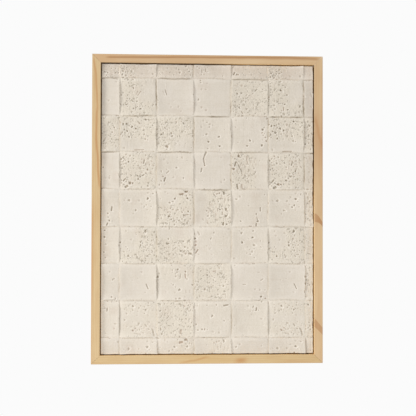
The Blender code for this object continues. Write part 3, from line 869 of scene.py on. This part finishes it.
def stamp_bowl(fields, x, y, bowl):
    """Sinks one irregular bowl at x, y, in millimetres, into the relief's fields. Its raised lip is highest
    at its lower right and painted paler there, partly as a paler rim and partly as painted highlight."""
    width = bowl.width
    reach = int(1.3 * width * bowl.longer / GRID) + 3
    column = int(round(x / GRID))
    row = int(round(y / GRID))
    rows, columns = fields["height"].shape
    window = (
        slice(max(row - reach, 0), min(row + reach + 1, rows)),
        slice(max(column - reach, 0), min(column + reach + 1, columns)),
    )
    dx = np.arange(columns)[None, window[1]] * GRID - x
    dy = np.arange(rows)[window[0], None] * GRID - y
    if not dx.size or not dy.size:
        return
    angle = radians(bowl.turn)
    along = dx * cos(angle) + dy * sin(angle)
    along = np.sign(along) * np.maximum(abs(along) - width / 2 * (bowl.longer - 1), 0)
    aside = dy * cos(angle) - dx * sin(angle)
    bearing = np.arctan2(aside, along)
    lobes = [LOBE * np.cos(count * bearing + chance.uniform(0, 2 * pi)) for count in LOBE_COUNTS]
    far = np.hypot(along, aside) / (width / 2) * (1 + sum(lobes))
    hollow = smooth_step((1.1 - far) / 0.6)
    lip = ridge(far, LIP_PLACE, LIP_WIDTH) * (0.6 + 0.4 * np.cos(np.arctan2(dy, dx) - pi / 4))
    sink = bowl.strength * min(SINK * width, MOST_SINK)
    rise = min(LIP_RISE * width, MOST_LIP_RISE) * bowl.strength
    fields["height"][window] += rise * lip - sink * hollow
    # The bowl's darkening is partly grime and partly painted shade; its lip's paleness is partly painted
    # highlight
    for name, share in (
        ("pit", bowl.strength * min(0.41 + width / 13, 0.95) * hollow),
        ("pale", min(1.5 * bowl.strength, 1) * lip),
        ("stain", 0.6 * bowl.brown * smooth_step(1.5 - far / 1.3)),
    ):
        fields[name][window] = np.maximum(fields[name][window], share)


def border_stain_and_shade(column, row):
    """The warmer, darker tone of the outer strips; on the top strip it is largely painted shade."""
    strips = (row == 0, row == row.max(), column == column.max())
    return blurred(sum(share * strip.astype(float) for strip, share in zip(strips, BORDER_STAINS_AND_SHADE)), 2 / GRID)


def stray_pit():
    """A small bowl that may lie anywhere."""
    width, longer, turn = chance.uniform(1.6, 2.8), chance.uniform(1, 2), chance.uniform(0, 180)
    return Bowl(0, 0, width, longer, turn, PLAIN, BROWN)


def seam_chip(turn):
    """A small long bowl where a seam's edge is chipped."""
    return Bowl(0, 0, chance.uniform(2, 3.4), chance.uniform(1.2, 3), turn, chance.uniform(0.2, 0.6), 0.2)


def make_relief():
    """The relief's height in millimetres, with how pitted, pale, stained and rough each grid point is."""
    across = np.arange(0, PANEL_WIDTH + GRID / 2, GRID)
    down = np.arange(0, PANEL_HEIGHT + GRID / 2, GRID)
    column_lines, row_lines = seam_lines(across, down)
    column, row, gaps = tile_places(across, down, column_lines, row_lines)
    crevice = crevices(column, row, gaps)
    height = blurred(woven_height(column, row, gaps) - CREVICE_DEPTH * crevice, SOFTENED / GRID)
    height += waves(height.shape, SWELLS)
    patches = np.clip(soft_noise(height.shape, PATCH_LENGTH / GRID) - 0.8, 0, 1.5)
    fields = dict(
        height=height,
        # The crevices' darkness: partly grime, partly painted shade in the seams
        pit=np.clip(crevice, 0, None),
        pale=pale_and_highlit_rims(across, down, column, row, gaps) + np.clip(-crevice, 0, None) * FILLED_PALE,
        stain=border_stain_and_shade(column, row) + 0.06 * patches,
        rough=face_roughness(column, row, gaps),
    )
    known = known_marks()
    for tile_column in range(column.max() + 1):
        for tile_row in range(row.max() + 1):
            left = column_lines[tile_column].mean()
            width = column_lines[tile_column + 1].mean() - left
            top = row_lines[tile_row].mean()
            tall = row_lines[tile_row + 1].mean() - top
            share = MARK_STRENGTHS.get((tile_row, tile_column), 1.0)
            for bowl in tile_marks(tile_row, tile_column, known):
                bowl = bowl._replace(strength=min(share * bowl.strength, MOST_STRENGTH))
                stamp_bowl(fields, left + bowl.across * width, top + bowl.down * tall, bowl)
    for _ in range(STRAY_PITS):
        bowl = stray_pit()
        stamp_bowl(fields, chance.uniform(0, PANEL_WIDTH), chance.uniform(0, PANEL_HEIGHT), bowl)
    for line in column_lines[1:-1]:
        for y in chance.uniform(0, PANEL_HEIGHT, SEAM_CHIPS):
            stamp_bowl(fields, line[int(y / GRID)] + chance.normal(0, CHIP_STRAY), y, seam_chip(90))
    for line in row_lines[1:-1]:
        for x in chance.uniform(0, PANEL_WIDTH, SEAM_CHIPS):
            stamp_bowl(fields, x, line[int(x / GRID)] + chance.normal(0, CHIP_STRAY), seam_chip(0))
    fields["pale"] *= 1 - np.clip(2 * fields["pit"], 0, 1)
    return across, down, fields


def sample(field, x, y):
    """The grid's value at places in millimetres, blended between the four nearest points."""
    fx = np.clip(x / GRID, 0, field.shape[1] - 1.001)
    fy = np.clip(y / GRID, 0, field.shape[0] - 1.001)
    ix, iy = fx.astype(int), fy.astype(int)
    wx, wy = fx - ix, fy - iy
    upper = field[iy, ix] * (1 - wx) + field[iy, ix + 1] * wx
    lower = field[iy + 1, ix] * (1 - wx) + field[iy + 1, ix + 1] * wx
    return upper * (1 - wy) + lower * wy


def read_all(parts, name, width=1, kind=np.float32):
    """One property of all of a mesh's vertices, loops or polygons, in rows of width."""
    values = np.empty(width * len(parts), kind)
    parts.foreach_get(name, values)
    return values.reshape(-1, width) if width > 1 else values


def grid_mesh(name, points, faces):
    mesh = bpy.data.meshes.new(name)
    mesh.vertices.add(len(points))
    mesh.vertices.foreach_set("co", points.astype(np.float32).ravel())
    mesh.loops.add(faces.size)
    mesh.loops.foreach_set("vertex_index", faces.astype(np.int32).ravel())
    mesh.polygons.add(len(faces))
    mesh.polygons.foreach_set("loop_start", np.arange(0, faces.size, 4, dtype=np.int32))
    mesh.update(calc_edges=True)
    return mesh


def relief_front(across, down, height):
    """The relief as an open sheet of squares, spread a little along its ragged borders."""
    x, z = np.meshgrid(across, down)
    top, bottom, left, right = (
        spread + uneven * waves((1, count), SPREAD_WAVES)[0]
        for (spread, uneven), count in zip(SPREAD, (len(across), len(across), len(down), len(down)))
    )
    x_moved = x - left[:, None] * smooth_step(1 - x / SPREAD_REACH)
    x_moved += right[:, None] * smooth_step(1 - (PANEL_WIDTH - x) / SPREAD_REACH)
    z_moved = z - top[None, :] * smooth_step(1 - z / SPREAD_REACH)
    z_moved += bottom[None, :] * smooth_step(1 - (PANEL_HEIGHT - z) / SPREAD_REACH)
    points = [PANEL_LOW.x + x_moved * MM, PANEL_LEVEL - height * MM, PANEL_HIGH.z - z_moved * MM]
    points = np.stack(points, -1).reshape(-1, 3)
    number = np.arange(points.shape[0]).reshape(x.shape)
    faces = np.stack([number[:-1, :-1], number[1:, :-1], number[1:, 1:], number[:-1, 1:]], -1).reshape(-1, 4)
    return grid_mesh("relief", points, faces)


def thin_out(mesh, ratio):
    """Merges the sheet's faces where it is nearly flat, so that the pits and steps keep the most."""
    guide = add_object("guide", mesh)
    thin = guide.modifiers.new("thin", "DECIMATE")
    thin.ratio = ratio
    depsgraph = bpy.context.evaluated_depsgraph_get()
    result = bpy.data.meshes.new_from_object(guide.evaluated_get(depsgraph))
    bpy.data.objects.remove(guide)
    bpy.data.meshes.remove(mesh)
    return result


def sort_sides(solid, border, front_count):
    """Lists the side faces in the border's order, as the extrusion's own order changes with each run."""
    numbers = {edge: number for number, edge in enumerate(border, front_count)}

    def number_of(face):
        if face.index < front_count:
            return face.index
        return next(numbers[edge] for edge in face.edges if edge in numbers)

    solid.faces.index_update()
    solid.faces.sort(key=number_of)


def close_panel(mesh):
    """Adds the panel's sides and back to the sheet."""
    solid = bmesh.new()
    solid.from_mesh(mesh)
    front_count = len(solid.faces)
    border = [edge for edge in solid.edges if edge.is_boundary]
    sides = bmesh.ops.extrude_edge_only(solid, edges=border)["geom"]
    for vertex in [part for part in sides if isinstance(part, bmesh.types.BMVert)]:
        vertex.co.y = PANEL_HIGH.y
    sort_sides(solid, border, front_count)
    back_rim = [edge for edge in solid.edges if edge.is_boundary]
    bmesh.ops.edgeloop_fill(solid, edges=back_rim)
    bmesh.ops.recalc_face_normals(solid, faces=solid.faces)
    for face in solid.faces:
        face.smooth = True
    for edge in [*border, *back_rim]:
        edge.smooth = False
    solid.to_mesh(mesh)
    solid.free()


# The panel's map for textures: where its front, its back and its four sides lie, each (u, v, width, height)
FRONT_MAP = (0.005, 0.01, 0.718, 0.98)
BACK_MAP = (0.73, 0.01, 0.265, 0.362)
TOP_MAP, BOTTOM_MAP = (0.73, 0.4, 0.265, 0.01), (0.73, 0.42, 0.265, 0.01)
LEFT_MAP, RIGHT_MAP = (0.75, 0.45, 0.01, 0.37), (0.77, 0.45, 0.01, 0.37)


def add_map(mesh):
    """Lays the panel out flat for textures: front and back as seen, and the sides as narrow strips."""
    layer = mesh.uv_layers.new(name="OFBake")
    corners = read_all(mesh.loops, "vertex_index", kind=np.int32)
    places = read_all(mesh.vertices, "co", 3)
    low, high = places.min(0), places.max(0)
    share = ((places - low) / (high - low))[corners]
    sizes = read_all(mesh.polygons, "loop_total", kind=np.int32)
    normal = np.repeat(read_all(mesh.polygons, "normal", 3), sizes, axis=0)
    at_back = share[:, 1] > 0.999
    face = np.repeat(np.arange(len(sizes)), sizes)
    back_corners = np.bincount(face, at_back)[face]
    back = back_corners == sizes[face]
    side = (back_corners > 0) & ~back
    upright = abs(normal[:, 0]) > abs(normal[:, 2])
    across, depth, up = share.T
    kinds = (
        (~back & ~side, FRONT_MAP, across, up),
        (back, BACK_MAP, 1 - across, up),
        (side & ~upright & (normal[:, 2] > 0), TOP_MAP, across, depth),
        (side & ~upright & (normal[:, 2] <= 0), BOTTOM_MAP, across, depth),
        (side & upright & (normal[:, 0] < 0), LEFT_MAP, depth, up),
        (side & upright & (normal[:, 0] >= 0), RIGHT_MAP, depth, up),
    )
    flat = np.zeros((len(corners), 2), np.float32)
    for chosen, (u, v, width, height), first, second in kinds:
        flat[chosen, 0] = u + width * first[chosen]
        flat[chosen, 1] = v + height * second[chosen]
    layer.data.foreach_set("uv", flat.ravel())


def add_values(mesh, name, values):
    layer = mesh.attributes.new(name, "FLOAT", "POINT")
    layer.data.foreach_set("value", values.astype(np.float32))


# Small pores in the material, in metres
PORE_CELL = 0.0055
PORE_BEND = 0.0045  # over how long they are bent out of round
PORE_SWAY = 1.6  # how far they are bent, in cells
PORE_HIGHLIGHT_OFFSET = 0.0011  # how far right of and below a pore its painted highlight lies


def small_pores(x, y, z, rough):
    """The share of small uneven pores, which the rough faces are full of."""
    tree = x.socket.id_data
    aside = noise(x / PORE_BEND, y / PORE_BEND, z / PORE_BEND, 1.0) - 0.5
    up = noise(x / PORE_BEND, y / PORE_BEND + 7, z / PORE_BEND, 1.0) - 0.5
    cells = tree.nodes.new("ShaderNodeTexVoronoi")
    bent = joined(x / PORE_CELL + aside * PORE_SWAY, y / PORE_CELL, z / PORE_CELL + up * PORE_SWAY)
    feed(cells.inputs["Vector"], bent)
    cells.inputs["Scale"].default_value = 1.0
    split = tree.nodes.new("ShaderNodeSeparateXYZ")
    feed(split.inputs[0], cells.outputs["Color"])
    radius = (Field(split.outputs[0]) + rough * 0.9 - 1).calc("MAXIMUM", 0) * 0.5
    return (Field(cells.outputs["Distance"]) - radius).smooth(-0.12, 0.03, 1, 0)


def plaster_material():
    material, shader = new_material("cast_plaster", 0.9, 0.25)
    tree = material.node_tree
    x, y, z = place_fields(tree)
    dark, stain, rough, pale = [attribute(tree, name) for name in ("pit", "stain", "rough", "pale")]
    clouds = noise(x / 0.06, y / 0.06, z / 0.06, 3.0)
    upright = noise(x / 0.0035, y / 0.01, z / 0.06)
    level = noise(x / 0.06, y / 0.01, z / 0.0035)
    dimples = noise(x / 0.0062, y / 0.0062, z / 0.0062, 2.0, 0.6)
    specks = noise(x / 0.0035, y / 0.0035, z / 0.0035, 3.0, 0.7)
    sand = noise(x / 0.0009, y / 0.0009, z / 0.0009)
    pores = small_pores(x, y, z, rough)
    # Painted highlight: a pale lip on the lower right side of each small pore
    painted_lip_highlights = small_pores(x - PORE_HIGHLIGHT_OFFSET, y, z + PORE_HIGHLIGHT_OFFSET, rough) * (1 - pores)
    streaks = clouds.smooth(0.4, 0.5) * upright.smooth(0.45, 0.75)
    streaks = streaks + clouds.smooth(0.5, 0.6, 1, 0) * level.smooth(0.45, 0.75)
    tint = mix_colours(clouds.smooth(0.3, 0.7), (224, 215, 202), (228, 219, 207))
    tint = mix_colours(rough * 0.6, tint, (229, 219, 201))
    tint = mix_colours(specks.smooth(0.35, 0.75, 0, 0.4) + streaks * 0.2, tint, (213, 202, 184))
    # Stains, with painted shade over the top strip
    tint = mix_colours(stain, tint, (178, 142, 118))
    # Pale rims and lips: partly painted highlight, and along the border painted light
    tint = mix_colours(pale.calc("MAXIMUM", painted_lip_highlights * 0.8) * 0.88, tint, (247, 239, 227))
    # The small pores painted darker: partly grime, partly painted shade
    tint = mix_colours(pores * 0.43, tint, (150, 136, 108))
    # Pits and seam crevices painted darker: partly grime, partly painted shade
    tint = mix_colours(dark * 0.68, tint, (126, 110, 82))
    feed(shader.inputs["Base Color"], tint)
    feed(shader.inputs["Roughness"], specks.smooth(0.2, 0.8, 0.82, 0.96))
    grain = dimples * (rough * 1.6 + 0.4) - pores * 0.7 + streaks * 0.12 + specks * 0.2 + sand * 0.1
    set_bump(shader, grain, MM, 1.0)
    return material


def add_panel():
    across, down, fields = make_relief()
    mesh = relief_front(across, down, fields.pop("height"))
    mesh = thin_out(mesh, MOST_TRIANGLES / (2 * len(mesh.polygons)))
    close_panel(mesh)
    add_map(mesh)
    mesh.name = "relief_panel_cast"
    places = read_all(mesh.vertices, "co", 3).astype(float)
    x = (places[:, 0] - PANEL_LOW.x) / MM
    y = (PANEL_HIGH.z - places[:, 2]) / MM
    front = places[:, 1] < PANEL_HIGH.y - 0.5 * MM
    for name, field in fields.items():
        add_values(mesh, name, sample(field, x, y) * front)
    mesh.materials.append(plaster_material())
    panel = add_object("relief_panel_cast", mesh)
    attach(panel, "root")
    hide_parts("relief_panel")


FRAME_LOW, FRAME_HIGH = [Vector(corner) for corner in cad_box]
RAIL_WIDTH = 21.5  # where a rail's inner side begins, in millimetres from its outer edge


def rail_axes(side, x, z):
    """(distance along the rail, distance in from its outer edge), in millimetres."""
    if side == "top":
        return (x - FRAME_LOW.x) / MM, (FRAME_HIGH.z - z) / MM
    if side == "bottom":
        return (x - FRAME_LOW.x) / MM, (z - FRAME_LOW.z) / MM
    if side == "left":
        return (FRAME_HIGH.z - z) / MM, (x - FRAME_LOW.x) / MM
    return (FRAME_HIGH.z - z) / MM, (FRAME_HIGH.x - x) / MM


# Each rail's own wood: its light and dark colours, the pith's place, and a shift that sets its figure apart
RAIL_LOOKS = {
    "top": dict(light=(226, 197, 156), dark=(211, 173, 128), pith=(-38, 24), shift=3),
    "bottom": dict(light=(217, 189, 141), dark=(203, 168, 119), pith=(60, 35), shift=17),
    "left": dict(light=(219, 192, 147), dark=(205, 170, 122), pith=(-30, 40), shift=31),
    "right": dict(light=(222, 192, 149), dark=(207, 170, 127), pith=(70, 20), shift=53),
}


def pine_material(side, look):
    material, shader = new_material("pine_" + side, 0.5, 0.4)
    tree = material.node_tree
    x, y, z = place_fields(tree)
    along, inward = rail_axes(side, x, z)
    depth = (y - FRAME_LOW.y) / MM
    shift = look["shift"]
    sway = noise(along / 260 + shift, inward / 40, depth / 40) * 9
    ripple = noise(along / 45 + shift, inward / 9, depth / 9) * 1.1
    aside = inward + sway + ripple - look["pith"][0]
    behind = depth + look["pith"][1]
    radius = (aside * aside + behind * behind).calc("SQRT")
    ring = (radius / 3.4).fract()
    late = ring.smooth(0.25, 0.85) * ring.smooth(0.9, 1.0, 1, 0)
    fibre = noise(along / 30 + shift, inward / 0.5, depth / 0.5, 3.0, 0.6)
    patches = noise(along / 90 + shift, inward / 12, depth / 12)
    tint = mix_colours(late * 0.5 + patches.smooth(0.35, 0.7, 0, 0.4), look["light"], look["dark"])
    tint = mix_colours(fibre.smooth(0.45, 0.8, 0, 0.35), tint, look["dark"])
    tint = figure(side, along, inward, fibre, tint)
    tint = gap_painted_light(side, along, inward, depth, tint)
    feed(shader.inputs["Base Color"], tint)
    feed(shader.inputs["Roughness"], fibre.smooth(0.2, 0.8, 0.42, 0.58))
    set_bump(shader, fibre + late * 0.4, 0.0002, 0.3)
    return material


def knot(along, inward, upper, lower):
    """A spike knot's share. It crosses the rail from its inner edge, leaning down towards the outer one. Its
    upper and its lower border are each (start at the inner edge, fall to the outer one, bend)."""
    crossed = ((RAIL_WIDTH - inward) / RAIL_WIDTH).calc("MAXIMUM", 0)
    edges = [start + fall * crossed.calc("POWER", bend) for start, fall, bend in (upper, lower)]
    return (along - edges[0]).smooth(0, 2.2) * (edges[1] - along).smooth(0, 2.2)


def streak(along, inward, half_width, *points):
    """A streak's share, along a line through points, each (along, inward)."""
    middle = points[0][1]
    for (start, low), (end, high) in zip(points, points[1:]):
        middle = along.smooth(start, end, 0, high - low) + middle
    first, last = points[0][0], points[-1][0]
    ends = along.smooth(first - 12, first + 12) * along.smooth(last - 12, last + 12, 1, 0)
    return (inward - middle).hill(0, half_width) * ends


def figure(side, along, inward, fibre, tint):
    """The broad marks that show on each rail: bands, streaks, a flush and two knots."""
    wander = noise(along / 60, inward / 50, 0)
    course = inward + wander * 3 - 1.5
    grainy = fibre.smooth(0.1, 0.65, 0.65, 1.0)
    if side == "top":
        band = streak(along, course, 7.2, (35, 7.5), (110, 7.5), (290, 5.4), (430, 5.2), (590, 6.5))
        core = streak(along, course, 2.6, (40, 9), (90, 8.6), (140, 7), (290, 6.6), (430, 4), (560, 4.5))
        band = band.calc("MAXIMUM", along.smooth(260, 420, 0.35, 0))
        tint = mix_colours(band * grainy * 0.85, tint, (186, 140, 95))
        return mix_colours(core * grainy * 0.45, tint, (158, 106, 66))
    if side == "bottom":
        slant = streak(along, course, 4.5, (232, 4), (262, 8), (300, 17))
        lens = along.hill(386, 25) * (inward - (along - 386) * 0.1).hill(8, 12)
        tint = mix_colours(along.hill(300, 130) * 0.35, tint, (212, 176, 116))
        faint = streak(along, course, 3, (505, 8), (540, 5), (575, 4))
        edge = inward.smooth(0.5, 2.2, 1, 0)
        tint = mix_colours((slant * 0.5).calc("MAXIMUM", lens * 0.75) * grainy, tint, (190, 134, 78))
        return mix_colours((faint * 0.3).calc("MAXIMUM", edge * 0.35), tint, (196, 146, 104))
    if side == "left":
        upper = streak(along, course, 4.5, (12, 4), (60, 10), (110, 13), (150, 14))
        lower = streak(along, course, 4.8, (140, 12.5), (215, 11.5), (290, 16), (345, 20))
        edge = inward.smooth(1.5, 5.5, 1, 0) * along.smooth(350, 430) * along.smooth(580, 680, 1, 0.4)
        tint = mix_colours(edge * 0.6, tint, (200, 146, 92))
        both = (upper * 0.6).calc("MAXIMUM", lower * 0.7)
        return mix_colours(both * grainy, tint, (190, 134, 78))
    flush = along.hill(225, 130) * 0.42
    flush = flush + inward.smooth(1, 5, 1, 0) * along.smooth(20, 60) * along.smooth(380, 440, 0.35, 0)
    slant = streak(along, course, 7, (158, 20), (196, 12), (238, 2)) * 0.4
    tint = mix_colours(flush, tint, (192, 146, 108))
    tint = mix_colours(slant * grainy, tint, (188, 132, 80))
    first = knot(along, inward, (410, 25, 1.7), (434, 13, 2.6))
    second = knot(along, inward, (683, 25, 1.0), (707, 21, 1.1))
    rim = first * (1 - first) + second * (1 - second)
    depth = first * inward.smooth(4, 18, 0.85, 0.6) + second * 0.6
    tint = mix_colours(depth * grainy, tint, (178, 126, 80))
    return mix_colours(rim, tint, (160, 108, 68))


# How much painted shade darkens a rail's inner side in the gap: from one place along it to another, and the
# share at each
GAP_PAINTED_SHADE = {"top": (290, 400, 0.85, 0), "left": (190, 300, 0.9, 0), "right": (250, 430, 0.75, 0)}


def gap_painted_light(side, along, inward, depth, tint):
    """The tint with painted light on a rail's inner edge and side, from its front to the panel's back: a
    painted highlight along the inner arris, the inner side painted pale, and painted shade over it in places."""
    if side != "top":
        # Painted highlight along the inner front arris, on every rail but the top
        arris = inward.smooth(RAIL_WIDTH - 1.4, RAIL_WIDTH) * depth.smooth(0.6, 1.4, 1, 0)
        tint = mix_colours(arris * 0.35, tint, (240, 214, 172))
    # The inner side in the gap, painted pale to lift the gap's shade
    inside = inward.smooth(RAIL_WIDTH, RAIL_WIDTH + 0.4) * depth.smooth(0.8, 2.2) * depth.smooth(12, 18, 1, 0)
    tint = mix_colours(inside * 0.8, tint, (252, 214, 154))
    if side not in GAP_PAINTED_SHADE:
        return tint
    # Painted shade: the inner side painted dark brown where the gap lies in shadow
    return mix_colours(inside * along.smooth(*GAP_PAINTED_SHADE[side]) * 0.9, tint, (64, 34, 14))


def add_rail(side):
    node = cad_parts["frame_rail_" + side]
    material = pine_material(side, RAIL_LOOKS[side])
    for slot in node.material_slots:
        slot.material = material
    if not node.material_slots:
        node.data.materials.append(material)


add_studio()
for rail_side in RAIL_LOOKS:
    add_rail(rail_side)
add_panel()
